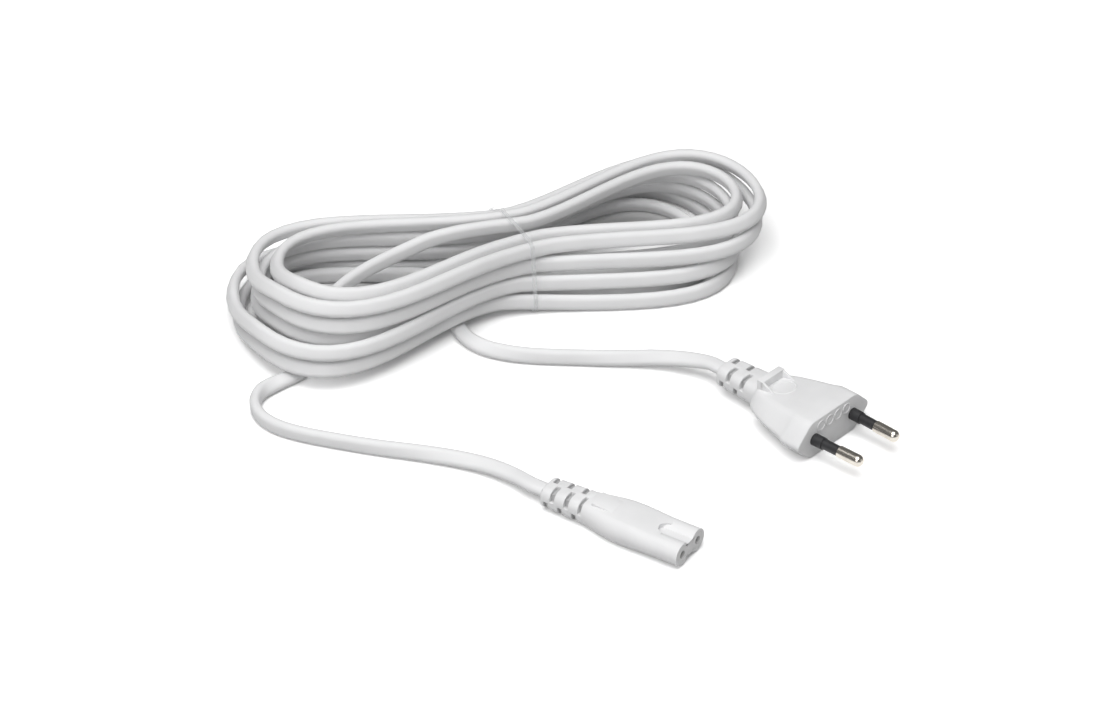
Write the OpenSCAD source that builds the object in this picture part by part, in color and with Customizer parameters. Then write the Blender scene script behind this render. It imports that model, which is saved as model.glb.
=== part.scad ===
// Two-core mains lead: a flat two-pin plug, a long flat cord tied up as a hank,
// and a figure-eight appliance connector. Millimetres, +Z up, the table at z = 0.

/* [Cord] */
// Width of the flat cord, across its two cores
cord_w = 5.4; // [5:0.1:5.8]
// Thickness of the flat cord
cord_t = 3.4; // [3:0.1:3.6]
// Diameter of one insulated core inside the sheath
core_d = 2.2; // [1.8:0.1:2.4]
// Diameter of the bare copper strand bundle of a core
strand_d = 1.1; // [0.8:0.1:1.4]

/* [Hank] */
// Number of loops in the hank
loops = 7; // [4:1:12]
// Height step from one layer of loops to the next
layer_step = 6.2; // [6:0.1:7]
// Reach of the innermost loop from the middle of the hank to either end
hank_reach = 73; // [66:1:90]
// Step between neighbouring loops at the ends of the hank
end_step = 7.5; // [4.5:0.5:9]
// Half width of the innermost loop at the waist
waist_half = 7.4; // [7:0.1:9]
// Step between neighbouring strands at the waist
waist_step = 6; // [6:0.1:7]
// Extra half width that opens the left lobe
left_open = 54; // [40:1:70]
// Extra half width that opens the right lobe
right_open = 43; // [34:1:60]
// Height by which the lowest loops clear the cord ends that pass under them
pass_lift = 4.8; // [4.4:0.1:6]

/* [Tie] */
// Width of the clear band round the waist of the hank
tie_w = 1.5; // [1:0.1:3]
// Thickness of the clear band
tie_t = 0.4; // [0.3:0.1:0.8]

/* [Plug] */
// Width of the plug's face, corner to corner
plug_w = 35.3; // [34:0.1:37]
// Thickness of the plug's face
plug_h = 13.7; // [13:0.1:14.5]
// Width of the flat top and bottom of the face
plug_flat_w = 22; // [18:0.5:24]
// Length of the plug's head, before it starts to taper
head_l = 7; // [5:0.5:9]
// Length of the plug's body, from the face to the strain relief
plug_body_l = 27; // [25:0.5:32]
// Width of the body where the strain relief starts
body_rear_w = 17.2; // [15:0.2:20]
// Thickness of the body where the strain relief starts
body_rear_h = 8.6; // [8.2:0.1:11]
// Height by which the grip bar stands above the head, on the upper side
bar_proud = 0.7; // [0:0.1:1.5]
// Diameter of the round mark in front of the grip bar
disc_d = 8; // [6:0.5:9]

/* [Pins] */
// Distance between the pins at the face
pin_gap = 18.6; // [18:0.1:19]
// Distance between the pins at their tips
pin_tip_gap = 17.5; // [17:0.1:18]
// Length of a pin in front of the face
pin_l = 19; // [18:0.5:20]
// Diameter of the bare end of a pin
pin_d = 4; // [3.8:0.05:4.2]
// Diameter of the pin's neck inside the sleeve
pin_neck_d = 2.6; // [2:0.1:2.8]
// Length of the insulated sleeve in front of the face
sleeve_l = 10; // [9:0.5:11]
// Length of the thicker collar of the sleeve, next to the face
collar_l = 3.8; // [3:0.2:5]
// Diameter of the sleeve past its collar
sleeve_d = 3.4; // [3.2:0.1:3.6]

/* [Connector] */
// Distance between the two holes
hole_gap = 8.6; // [8.4:0.1:9]
// Diameter of each hole at its mouth
hole_d = 2.7; // [2.6:0.05:2.9]
// Depth of the narrow mouth of each hole
mouth_l = 4; // [3:0.5:5]
// Diameter of each rounded lobe of the nose
lobe_d = 7.5; // [7.2:0.1:8]
// Length of the grooved nose
nose_l = 11; // [9:0.5:14]
// Length of the connector's body, from the face to the strain relief
connector_body_l = 35.4; // [33:0.2:38]
// Greatest thickness of the connector's body
connector_h = 8.8; // [8.4:0.1:10]
// Diameter of each lobe of the hard insert
insert_lobe_d = 5.8; // [5.4:0.1:6]
// Length of the hard insert
insert_l = 18; // [17:0.5:20]
// Outer diameter of a spring contact
contact_d = 3.3; // [3.1:0.1:3.4]
// Length of a spring contact
contact_l = 13; // [11:0.5:13]

/* [Strain reliefs] */
// Length of the plug's strain relief
plug_relief_l = 17.2; // [15:0.2:20]
// Length of the connector's strain relief
connector_relief_l = 15.8; // [14:0.2:20]
// Distance between slots on one side of the plug's relief
plug_slot_pitch = 5.9; // [5:0.1:6.5]
// Distance between slots on one side of the connector's relief
connector_slot_pitch = 5.2; // [4.8:0.1:6]
// Width of a slot
slot_w = 1.7; // [1.2:0.1:2]

/* [Fits] */
// Clearance round a piece that is moulded in or pushed in
fit = 0.05; // [0.02:0.01:0.1]

/* [Layout] */
// How far the plug's face lies to the right of the connector's face
ends_apart_x = 46.3; // [42:0.1:60]
// How far the plug's face lies behind the connector's face
ends_apart_y = 58.5; // [54:0.1:70]

/* [Hidden] */
$fn = 48;

// ---- where the two ends lie: position of the middle of the face, and heading ----
ends_middle = [12.35, -13.45];
plug_at = [ends_middle[0] + ends_apart_x / 2, ends_middle[1] + ends_apart_y / 2, plug_h / 2];
plug_turn = -42.7;
connector_at = [ends_middle[0] - ends_apart_x / 2, ends_middle[1] - ends_apart_y / 2, connector_h / 2];
connector_turn = -33.3;

// ---- general helpers ----
// Half the spacing of the two cores inside the flat cord
core_offset = (cord_w - cord_t) / 2 + 0.2;

// Smooth step from 0 to 1
function ease(t) = let (q = min(1, max(0, t))) q * q * (3 - 2 * q);
function unit(v) = v / norm(v);

// Outline of a flat cord's section with the given number of points
function cord_outline(sides, w, t) = let (turn = sides == 8 ? 22.5 : 0)
    [for (k = [0 : sides - 1]) let (phi = turn + 360 * k / sides, c = cos(phi))
        [sign(round(c * 100)) * (w - t) / 2 + t / 2 * c / cos(turn),
         t / 2 * sin(phi) / sin(sides == 8 ? 67.5 : 60)]];

// One ring of a cord: outline turned by roll about the tangent, 0 being flat side up
function ring(p, tangent, roll, outline) =
    let (across = unit(cross([0, 0, 1], tangent)), up = cross(tangent, across),
         wide = across * cos(roll) + up * sin(roll), thin = cross(tangent, wide))
    [for (o = outline) p + wide * o[0] + thin * o[1]];

// Direction of a line of points at point i
function heading(points, i) =
    unit(points[min(i + 1, len(points) - 1)] - points[max(i - 1, 0)]);

// Solid tube through rings that all have the same number of points
module tube(rings) {
    n = len(rings[0]);
    last = len(rings) - 1;
    sides = [for (i = [0 : last - 1], k = [0 : n - 1], half = [0, 1])
        let (a = i * n + k, b = i * n + (k + 1) % n)
        half == 0 ? [a, a + n, b + n] : [a, b + n, b]];
    start_cap = [for (k = [1 : n - 2]) [0, k, k + 1]];
    end_cap = [for (k = [1 : n - 2]) [last * n, last * n + k + 1, last * n + k]];
    polyhedron([for (r = rings) each r], concat(sides, start_cap, end_cap), convexity = 12);
}

// A route's points with a smooth point put between each pair, and its two end runs left straight
function refined(route) = let (last = len(route) - 1)
    [for (i = [0 : last]) each i == last ? [route[i]]
        : i == 0 || i == last - 1 ? [route[i], (route[i] + route[i + 1]) / 2]
        : [route[i], (route[i] + route[i + 1]) * 9 / 16 - (route[i - 1] + route[i + 2]) / 16]];

// Points in three dimensions, and the length of the line through them
function places(route) = [for (q = route) [q[0], q[1], q[2]]];
function path_length(points, i = 0) = i >= len(points) - 1 ? 0
    : norm(points[i + 1] - points[i]) + path_length(points, i + 1);

// A round wire of constant diameter through a few points
module wire(points, d) {
    circle_points = [for (k = [0 : 7]) d / 2 * [cos(45 * k), sin(45 * k)]];
    tube([for (i = [0 : len(points) - 1]) ring(points[i], heading(points, i), 0, circle_points)]);
}

// Puts a piece that is drawn with its face at x = 0, looking along +X, on its end of the cord
module on_plug() translate(plug_at) rotate([0, 0, plug_turn]) children();
module on_connector() translate(connector_at) rotate([0, 0, connector_turn]) children();

// Point that lies back from an end's face, in the part's frame
function behind(at, turn, back, across = 0) =
    at + [-back * cos(turn) - across * sin(turn), -back * sin(turn) + across * cos(turn), 0];

// Point of a route near an end: back from its face, across, at a height, with the cord's roll
function near_end(at, turn, back, across, height, roll) =
    let (p = behind(at, turn, back, across)) [p[0], p[1], height, roll];

// A slab of an outline that stands across X, from x to x + thick
module slab(x, thick) translate([x, 0, 0]) rotate([90, 0, 90]) linear_extrude(thick) children();

// Rounded rectangle, centred
module soft_rect(w, h, r) offset(r) square([w - 2 * r, h - 2 * r], center = true);

// The flat cord's own section
module cord_section(grow = 0) hull() for (s = [-1, 1])
    translate([s * (cord_w - cord_t) / 2, 0]) circle(d = cord_t + 2 * grow);

// ---- strain relief: a tapered sleeve, cut by short slots in turn on either side ----
relief_slots = 3;
relief_soft = 3.1;

module strain_relief(x, l, front, rear, lead, pitch) {
    difference() {
        hull() {
            slab(x - 0.5, 0.5) soft_rect(front[0], front[1], relief_soft);
            slab(x - l + 0.8, 0.5) soft_rect(rear[0], rear[1], relief_soft);
            slab(x - l, 0.2) soft_rect(rear[0] - 1, rear[1] - 1, relief_soft - 0.5);
        }
        for (i = [0 : relief_slots - 1], side = [-1, 1], top = [-1, 1]) {
            late = side * top > 0 ? pitch / 2 - 0.3 : 0;
            slot_x = x - lead - i * pitch - late;
            if (slot_x - slot_w > x - l + 0.8) relief_slot(slot_x, side, top);
        }
    }
}

// One slot: over the top from near the middle, and down the side to mid height
module relief_slot(x, side, top) {
    reach = 8;
    mirror([0, side < 0 ? 1 : 0, 0]) mirror([0, 0, top < 0 ? 1 : 0]) {
        translate([x - slot_w, 0.5, cord_t / 2 + 0.9]) cube([slot_w, reach, reach]);
        translate([x - slot_w, cord_w / 2 + 0.9, 0.3]) cube([slot_w, reach, reach]);
    }
}

// Channel in which the cord's sheath lies inside an end
module cord_channel(from, to) slab(from, to - from) cord_section(fit);

// ---- plug ----
bridge_front = 1.6;
bridge_l = 11.4;
bridge_w = pin_gap + 4.8;
bridge_h = 6;
pin_toe = atan((pin_gap - pin_tip_gap) / 2 / pin_l);
pin_root = 15.8;
collar_d = pin_d;
crimp_l = 4;
crimp_d = 3.2;
sheath_in = plug_relief_l - 1;
plug_sheath_from = plug_body_l + plug_relief_l;
bar_t = 2.4;
bar_w = 10.6;
fin_l = plug_body_l * 0.17;
fin_t = 1.1;
body_waist = -head_l - (plug_body_l - head_l) * 0.68;
mark_d = 3.2;
plug_relief_front = [12, 8.4];
plug_relief_rear = [10.3, 7.4];
plug_relief_lead = 5.3;

// Places children in the frame of a pin, whose axis is X; side is 1 for left, -1 for right
module on_pin(side) translate([0, side * pin_gap / 2, 0]) rotate([0, 0, -side * pin_toe]) children();
module along_x(x, l, d) translate([x, 0, 0]) rotate([0, 90, 0]) cylinder(h = l, d = d);

// Face of the plug: a flattened hexagon with soft corners
module face_outline(inset = 0) offset(1.3) offset(-1.3 - inset) polygon([
    [plug_w / 2 + 0.6, 0], [plug_flat_w / 2, plug_h / 2], [-plug_flat_w / 2, plug_h / 2],
    [-plug_w / 2 - 0.6, 0], [-plug_flat_w / 2, -plug_h / 2], [plug_flat_w / 2, -plug_h / 2]]);

// Half width and half height of the body at a place between its head and its rear
function body_half(x) = let (t = (-x - head_l) / (plug_body_l - head_l), narrowing = t + 0.6 * t * (t - 1))
    [plug_w + (body_rear_w - plug_w) * narrowing, plug_h + (body_rear_h - plug_h) * t] / 2;

// Section of the body between its head and its rear: a soft, flattened hexagon
module body_section(x) let (half = body_half(x), flat = half[0] * plug_flat_w / plug_w)
    offset(1.8) offset(-1.8) polygon([[half[0] + 0.6, 0], [flat, half[1]], [-flat, half[1]],
        [-half[0] - 0.6, 0], [-flat, -half[1]], [flat, -half[1]]]);

// Grip: a bar across, with a fin running forward from each of its ends
module grip(proud) {
    base = 2.5;
    top_z = plug_h / 2 + proud;
    front_x = -plug_body_l + bar_t;
    tip_z = body_half(front_x + fin_l)[1];
    translate([front_x - bar_t, -bar_w / 2, base]) cube([bar_t, bar_w, top_z - base]);
    for (side = [-1, 1]) translate([front_x, side * (bar_w - fin_t) / 2 + fin_t / 2, 0])
        rotate([90, 0, 0]) linear_extrude(fin_t)
            polygon([[-bar_t / 2, base], [fin_l, base], [fin_l, tip_z], [0, top_z], [-bar_t / 2, top_z]]);
}

// Round mark: a shallow ring on the sloping top in front of the grip bar
module round_mark() {
    slope = atan((plug_h - body_rear_h) / 2 / (plug_body_l - head_l));
    mark_x = -plug_body_l + bar_t + disc_d / 2;
    translate([mark_x, 0, body_half(mark_x)[1]]) rotate([0, -slope, 0]) difference() {
        translate([0, 0, -1]) cylinder(h = 1.25, d = disc_d);
        translate([0, 0, 0.05]) cylinder(h = 1, d = disc_d - 1);
    }
}

module plug_body() color("white") on_plug() difference() {
    union() {
        hull() {
            slab(-0.4, 0.4) face_outline(0.5);
            slab(-head_l, head_l - 0.9) face_outline();
        }
        hull() {
            slab(-head_l - 0.2, 0.2) face_outline();
            slab(body_waist, 0.2) body_section(body_waist);
        }
        hull() {
            slab(body_waist, 0.2) body_section(body_waist);
            slab(-plug_body_l, 0.3) soft_rect(body_rear_w, body_rear_h, relief_soft);
        }
        strain_relief(-plug_body_l, plug_relief_l, plug_relief_front, plug_relief_rear,
                      plug_relief_lead, plug_slot_pitch);
        for (flip = [0, 1]) mirror([0, 0, flip]) {
            grip(flip == 0 ? bar_proud : 0);
            round_mark();
        }
        for (k = [-1.5 : 1 : 1.5]) translate([0, k * 3.5, plug_h / 2 - 2.6]) rotate([0, 90, 0])
            translate([0, 0, -0.2]) difference() {
                cylinder(h = 0.45, d = mark_d);
                translate([0, 0, 0.25]) cylinder(h = 1, d = mark_d - 0.7);
            }
    }
    // seat of the pin bridge and of the pins' sleeves
    translate([-bridge_front - bridge_l - fit, -bridge_w / 2 - fit, -bridge_h / 2 - fit])
        cube([bridge_l + 2 * fit, bridge_w + 2 * fit, bridge_h + 2 * fit]);
    for (side = [-1, 1]) on_pin(side) {
        along_x(-bridge_front - 1, bridge_front + 2, collar_d + 2 * fit);
        along_x(-pin_root - crimp_l, crimp_l + pin_root - bridge_l, crimp_d + 2 * fit);
    }
    cord_channel(-plug_sheath_from - 1, -plug_sheath_from + sheath_in + fit);
    for (side = [-1, 1]) wire(core_route(side), core_d + 2 * fit);
}

// Route of a core from the sheath's end to its crimp, in the plug's frame
core_from = plug_sheath_from - sheath_in;
pin_root_y = pin_gap / 2 + (pin_root + crimp_l) * tan(pin_toe);
function core_route(side) = let (root = pin_root + crimp_l) [
    [-core_from, side * core_offset, 0], [-core_from + 1.4, side * (core_offset + 0.1), 0],
    [-core_from + 2.6, side * (core_offset + 1.4), 0], [-root - 2.4, side * (pin_root_y - 1.3), 0],
    [-root - 1.2, side * (pin_root_y - 0.2), 0], [-root, side * pin_root_y, 0],
    [-root + 1, side * pin_root_y, 0]];

module plug_bridge() color("whitesmoke") on_plug() difference() {
    translate([-bridge_front - bridge_l, -bridge_w / 2, -bridge_h / 2])
        cube([bridge_l, bridge_w, bridge_h]);
    for (side = [-1, 1]) on_pin(side) {
        along_x(-bridge_front - 5, 8, collar_d + 2 * fit);
        along_x(-bridge_front - bridge_l - 1, bridge_l, pin_neck_d + 2 * fit);
    }
    translate([-bridge_front - bridge_l - 1, -5, -1.2]) cube([5, 10, 2.4]);
}

module pin(side) color("silver") on_plug() on_pin(side) {
    tip_r = pin_d / 2;
    rotate([0, 90, 0]) rotate_extrude() union() {
        translate([0, -pin_root]) square([pin_neck_d / 2, pin_root + sleeve_l + 0.1]);
        translate([0, sleeve_l]) square([tip_r, pin_l - sleeve_l - tip_r]);
        intersection() {
            translate([0, pin_l - tip_r]) circle(tip_r);
            translate([0, sleeve_l]) square([tip_r, pin_l]);
        }
    }
}

module pin_sleeve(side) color("black") on_plug() on_pin(side) rotate([0, 90, 0]) difference() {
    union() {
        translate([0, 0, -bridge_front - 5 + fit]) cylinder(h = bridge_front + 5 + collar_l, d = collar_d);
        cylinder(h = sleeve_l, d = sleeve_d);
    }
    translate([0, 0, -bridge_front - 6])
        cylinder(h = bridge_front + 7 + sleeve_l, d = pin_neck_d + 2 * fit);
}

// Tinned barrel pressed on the root of a pin and on the core's bare strands
module plug_crimp(side) color("lightgray") on_plug() on_pin(side) difference() {
    along_x(-pin_root - crimp_l, crimp_l + pin_root - bridge_front - bridge_l - fit, crimp_d);
    along_x(-pin_root - fit, pin_root, pin_neck_d + 2 * fit);
    along_x(-pin_root - crimp_l - 1, crimp_l + 3, strand_d + 2 * fit);
}

module plug_core(side, tint) color(tint) on_plug() difference() {
    wire(core_route(side), core_d);
    on_pin(side) along_x(-pin_root - crimp_l, 6, crimp_d + 2 * fit);
    on_pin(side) along_x(-pin_root - crimp_l - 1, 6, strand_d + 2 * fit);
}

module plug_strands(side) color("peru") on_plug() on_pin(side)
    along_x(-pin_root - crimp_l - 0.9, crimp_l + 0.7, strand_d);

module plug_sheath_end() color("white") on_plug()
    slab(-plug_sheath_from, sheath_in) cord_section();

// ---- connector ----
connector_l = connector_body_l + connector_relief_l;
connector_sheath_in = connector_relief_l + 1.2;
connector_rear_w = 11.6;
connector_rear_h = connector_h - 0.8;
wedge_l = 8;
wedge_w = 6.8;
wedge_proud = 0.3;
chamber_d = contact_d + 2 * fit;
connector_relief_front = [11, 8];
connector_relief_rear = [9.8, 7.2];
contact_bore = 2.3;
contact_gap = 0.5;
contact_tail_l = 4;
connector_core_from = connector_l - connector_sheath_in;
contact_rear = mouth_l + fit + contact_l;

// Two round lobes joined by a flat web
module eight(lobe, web, gap) {
    for (side = [-1, 1]) translate([side * gap / 2, 0]) circle(d = lobe);
    square([gap, web], center = true);
}

module connector_body() color("white") on_connector() difference() {
    union() {
        slab(-nose_l - 1, nose_l + 1) eight(lobe_d, lobe_d * 0.62, hole_gap);
        hull() {
            slab(-nose_l - 3.4, 3) eight(lobe_d, lobe_d, hole_gap);
            slab(-nose_l - 12, 0.5) soft_rect(hole_gap + lobe_d + 0.4, connector_h, 3.9);
        }
        hull() {
            slab(-nose_l - 12, 0.5) soft_rect(hole_gap + lobe_d + 0.4, connector_h, 3.9);
            slab(-connector_body_l, 0.5) soft_rect(connector_rear_w, connector_rear_h, relief_soft);
        }
        strain_relief(-connector_body_l, connector_relief_l, connector_relief_front,
                      connector_relief_rear, 0, connector_slot_pitch);
        for (flip = [0, 1]) mirror([0, 0, flip]) thumb_step(flip == 0 ? wedge_proud : 0);
    }
    slab(-insert_l - fit, insert_l + 1) eight(insert_lobe_d + 2 * fit, 3.2 + 2 * fit, hole_gap);
    for (side = [-1, 1]) {
        translate([0, side * hole_gap / 2, 0])
            along_x(-contact_rear - contact_tail_l, contact_tail_l + 1, contact_d + 2 * fit);
        wire(connector_core_route(side), core_d + 2 * fit);
    }
    cord_channel(-connector_l - 1, -connector_core_from + fit);
}

// Shallow wedge on the rear of the body, where the thumb pushes
module thumb_step(proud) {
    z = connector_h / 2;
    translate([-connector_body_l + 2.2, wedge_w / 2, 0]) rotate([90, 0, 0]) linear_extrude(wedge_w)
        polygon([[0, z - 1.5], [wedge_l, z - 1.5], [wedge_l, z - 0.2], [0, z + proud]]);
}

function connector_core_route(side) = let (root = contact_rear + contact_tail_l) [
    [-connector_core_from, side * core_offset, 0],
    [-connector_core_from + 1.5, side * core_offset, 0],
    [-connector_core_from + 5, side * (core_offset + 1), 0],
    [-root - 2.5, side * (hole_gap / 2 - 0.5), 0],
    [-root - 0.5, side * hole_gap / 2, 0],
    [-root + 0.5, side * hole_gap / 2, 0]];

module connector_insert() color("gainsboro") on_connector() difference() {
    slab(-insert_l, insert_l) eight(insert_lobe_d, 3.2, hole_gap);
    for (side = [-1, 1]) translate([0, side * hole_gap / 2, 0]) {
        along_x(-mouth_l - 1, mouth_l + 2, hole_d);
        along_x(-insert_l - 1, insert_l + 1 - mouth_l, chamber_d);
    }
}

// Spring contact: a slit tube that grips the inlet's pin, with a solid tail for the strands
module contact(side) color("goldenrod") on_connector() translate([0, side * hole_gap / 2, 0])
    difference() {
        along_x(-contact_rear - contact_tail_l, contact_l + contact_tail_l, contact_d);
        along_x(-contact_rear, contact_l + 1, contact_bore);
        translate([-contact_rear + 2, -contact_gap / 2, 0]) cube([contact_l, contact_gap, 3]);
        along_x(-contact_rear - contact_tail_l - 1, contact_tail_l, strand_d + 2 * fit);
    }

module connector_core(side, tint) color(tint) on_connector() difference() {
    wire(connector_core_route(side), core_d);
    translate([0, side * hole_gap / 2, 0]) {
        along_x(-contact_rear - contact_tail_l, 6, contact_d + 2 * fit);
        along_x(-contact_rear - contact_tail_l - 1, 6, strand_d + 2 * fit);
    }
}

module connector_strands(side) color("peru") on_connector() translate([0, side * hole_gap / 2, 0])
    along_x(-contact_rear - contact_tail_l - 0.8, contact_tail_l - 0.4, strand_d);

module connector_sheath_end() color("white") on_connector()
    slab(-connector_l, connector_sheath_in) cord_section();

// ---- hank: one cord wound in narrow loops, in four layers, standing nearly on its edge ----
hank_at = [-75, 100.9];
hank_turn = 22.4;
layers = 4;
rings_per_loop = 24;
start_turn = 1 / rings_per_loop;
start_angle = 101;
cord_sides = 6;
// The top layer against the bottom one: along the hank, across it, and turned
lean_along = 17;
lean_across = -2.7;
lean_turn = 2.3;
lean_lobes = -3.6;
// Growth of the loops from the bottom layer to the top one
left_growth = 7.8;
right_growth = -4.8;
waist_growth = -4.1;
left_open_growth = -12;
right_open_growth = -8;
left_fan = 1.1;
right_fan = 0.5;
end_roundness = 1.25;
end_pace = 4;
lobe_step = 7.5;
// The lift over the cord ends: its middle along the hank, its half length, and the width
// across the hank over which it rises
lift_middle = -46;
lift_half = 54;
lift_slope = 24;
rest_gap = 0.1;
// How far the flat cord leans outwards from standing on its edge: along the sides, more at
// the ends, and a little from loop to loop
side_lean = 12;
left_end_lean = 22;
right_end_lean = 11;
lean_sway = 5;
sway_pace = 137;

// Turns at which the spiral reverses, and the loop that it has then reached
first_turn = round(loops * 4 / 7) / 2;
reversals = [first_turn, loops / 2, loops - first_turn];
middle_loop = 2 * first_turn - loops / 2;
spiral = [[0, 0], [reversals[0], first_turn], [reversals[1], middle_loop],
          [reversals[2], first_turn], [loops, 0]];

// Layer at a turn: it climbs one layer in the half turn round each reversal
function layer_at(turn) = ease((turn - reversals[0]) * 2 + 0.5)
    + ease((turn - reversals[1]) * 2 + 0.5) + ease((turn - reversals[2]) * 2 + 0.5);

// Point of the hank in its own frame, X along it, from the layer, the loop counted from the
// innermost, and the cosine and sine of the angle round the loop
function loop_point(layer, loop, c, s) = let (
    high = layer / (layers - 1), right = c > 0,
    reach = hank_reach + end_step * loop + (right ? right_growth : left_growth) * high,
    open = (right ? right_open + right_open_growth * high : left_open + left_open_growth * high)
        + lobe_step * loop,
    waist = waist_half + waist_growth * high + waist_step * loop,
    x = reach * sign(c) * pow(abs(c), end_roundness) + lean_along * high,
    y = s * (waist + open * c * c) + lean_across * high
        + lean_lobes * (right ? high : -high) * c * c,
    lift = pass_lift * exp(-pow((x - lift_middle) / lift_half, 4)) * ease(0.5 - y / lift_slope),
    z = cord_w / 2 + rest_gap + layer_step * layer + high * c * c * (right ? right_fan : left_fan) + lift)
    [x, y, z];

// Turns a point of the hank's frame into the part's frame
function from_hank(p, high) = let (a = hank_turn + lean_turn * high)
    [hank_at[0] + p[0] * cos(a) - p[1] * sin(a), hank_at[1] + p[0] * sin(a) + p[1] * cos(a), p[2]];

// Angle round the loop at a turn, slower at the ends, where the cord bends most
function loop_angle(turn) = let (even = start_angle + 360 * turn) even - end_pace * sin(2 * even);

function hank_point(turn) = let (layer = layer_at(turn), angle = loop_angle(turn))
    from_hank(loop_point(layer, lookup(turn, spiral), cos(angle), sin(angle)), layer / (layers - 1));

// Roll of the flat cord at a turn: upright where it comes in and goes out
function hank_roll(turn) = let (c = cos(loop_angle(turn)))
    90 - ease(4 * min(turn - start_turn, loops - turn))
    * (side_lean + (c < 0 ? left_end_lean : right_end_lean) * pow(c, 4) + lean_sway * sin(sway_pace * turn));

// The cord's line through the hank, with a straight lead of one cord width at either end
hank_rings = round((loops - start_turn) * rings_per_loop);
hank_turns = [for (i = [0 : hank_rings]) start_turn + (loops - start_turn) * i / hank_rings];
hank_line = [for (turn = hank_turns) hank_point(turn)];
hank_in = unit(hank_line[1] - hank_line[0]);
hank_out = unit(hank_line[hank_rings] - hank_line[hank_rings - 1]);
hank_start = hank_line[0] - hank_in * cord_w;
hank_end = hank_line[hank_rings] + hank_out * cord_w;
hank_path = concat([hank_start], hank_line, [hank_end]);
hank_rolls = concat([90], [for (turn = hank_turns) hank_roll(turn)], [90]);

module hank() color("white") tube([for (i = [0 : len(hank_path) - 1])
    ring(hank_path[i], heading(hank_path, i), hank_rolls[i], cord_outline(cord_sides, cord_w, cord_t))]);

// Least gap between neighbouring stretches, from the lines through the middle of the flat
// section and through the middles of its two round edges
function to_segment(p, a, b) = let (d = b - a, t = min(1, max(0, (p - a) * d / (d * d))))
    norm(p - a - t * d);
gap_outline = [for (k = [-1, 0, 1]) [k * (cord_w - cord_t) / 2, 0]];
gap_lines = [for (i = [0 : len(hank_path) - 1])
    ring(hank_path[i], heading(hank_path, i), hank_rolls[i], gap_outline)];
near = 3 * cord_w + hank_reach * PI / rings_per_loop * 2;
least_gap = min([for (i = [0 : len(hank_path) - 1], j = [i + 9 : 1 : len(hank_path) - 2])
    if (norm(hank_path[i] - hank_path[j]) < near) for (a = [0 : 2], b = [0 : 2])
        to_segment(gap_lines[i][a], gap_lines[j][b], gap_lines[j + 1][b])]) - cord_t;

// ---- free stretches: each point is x, y, z and the roll of the flat cord in degrees ----
plug_route = concat(
    [for (on = [0, cord_w]) [each behind(plug_at, plug_turn, plug_sheath_from + on), 0]],
    [near_end(plug_at, plug_turn, 56, -1.2, 5.8, 10), near_end(plug_at, plug_turn, 65, -4.8, 4.3, 30),
     [-24.5, 57.7, 3.4, 50], [-34.5, 58.3, 2.9, 65],
     [-45.5, 58.9, 2.8, 75], [-56.5, 59.5, 2.8, 75], [-65.5, 61, 2.8, 65], [-73.5, 64.3, 2.6, 45],
     [-79, 69.3, 2.3, 20], [-82.5, 76.3, 1.8, 0], [-84, 84.3, 1.8, 0], [-84.5, 91.8, 2.1, 10],
     [-86.5, 99.3, 2.6, 40], [-91, 104.3, 2.8, 70]],
    [for (back = [cord_w, 0]) let (p = hank_start - hank_in * back) [p[0], p[1], p[2], 90]]);

connector_route = concat(
    [for (on = [0, cord_w]) [each behind(connector_at, connector_turn, connector_l + on), 0]],
    [near_end(connector_at, connector_turn, 65.5, 1.9, 3.6, 10),
     near_end(connector_at, connector_turn, 75.2, 2.1, 3.1, 30),
     [-82.5, 4.3, 2.9, 50], [-94.5, 7.5, 2.8, 70], [-107.5, 10.3, 2.8, 85],
     [-120.5, 13.9, 2.8, 90], [-131.5, 17.5, 2.8, 90], [-139.5, 21.7, 2.8, 90],
     [-144.5, 27.3, 2.8, 90], [-146.3, 33.8, 2.8, 85], [-144.5, 40.3, 2.8, 60],
     [-139.5, 45.8, 2.3, 20], [-133.5, 51, 1.9, 0], [-130, 57.5, 1.8, 0], [-129, 64.5, 1.9, 10],
     [-129.3, 71.5, 2.4, 35], [-128.8, 78.5, 3.3, 60], [-126.3, 85.3, 5.2, 80], [-121.5, 91, 7.9, 90],
     [-114.8, 95, 11, 90], [-107.3, 97.5, 14.2, 90], [-99.5, 99, 17.6, 90], [-91.5, 100.4, 20.8, 90]],
    [for (on = [cord_w, 0]) let (p = hank_end + hank_out * on) [p[0], p[1], p[2], 90]]);

module free_cord(route) {
    line = refined(route);
    points = places(line);
    tube([for (i = [0 : len(line) - 1])
        ring(points[i], heading(points, i), line[i][3], cord_outline(8, cord_w, cord_t))]);
}

module plug_tail() color("white") free_cord(plug_route);
module connector_tail() color("white") free_cord(connector_route);

// ---- tie: a clear band round all the strands at the waist ----
tie_along = 10;
tie_gap = 1.4;

// Where strand k, counted in half turns, passes the tie: across the hank and up
function strand_at(k) = let (turn = k / 2 + (90 - start_angle) / 360, t = max(0, min(loops, turn)),
    layer = layer_at(t), loop = lookup(t, spiral), high = layer / (layers - 1),
    away = (tie_along - lean_along * high) / (hank_reach + end_step * loop),
    c = sign(away) * pow(abs(away), 1 / end_roundness),
    p = loop_point(layer, loop, c, (k % 2 == 0 ? 1 : -1) * sqrt(1 - c * c))) [p[1], p[2]];

module tie_outline(grow) hull() for (k = [0 : 2 * loops])
    translate(strand_at(k)) for (s = [-1, 1]) translate([0, s * (cord_w - cord_t) / 2])
        circle(d = cord_t + 2 * grow, $fn = 24);

module hank_tie() color("gainsboro", 0.6)
    translate([hank_at[0], hank_at[1], 0]) rotate([0, 0, hank_turn + lean_turn / 2])
        translate([tie_along - tie_w / 2, 0, 0]) rotate([90, 0, 90]) linear_extrude(tie_w)
            intersection() {
                difference() {
                    tie_outline(tie_gap + tie_t);
                    tie_outline(tie_gap);
                }
                translate([-hank_reach, 0]) square(2 * hank_reach);
            }

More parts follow.
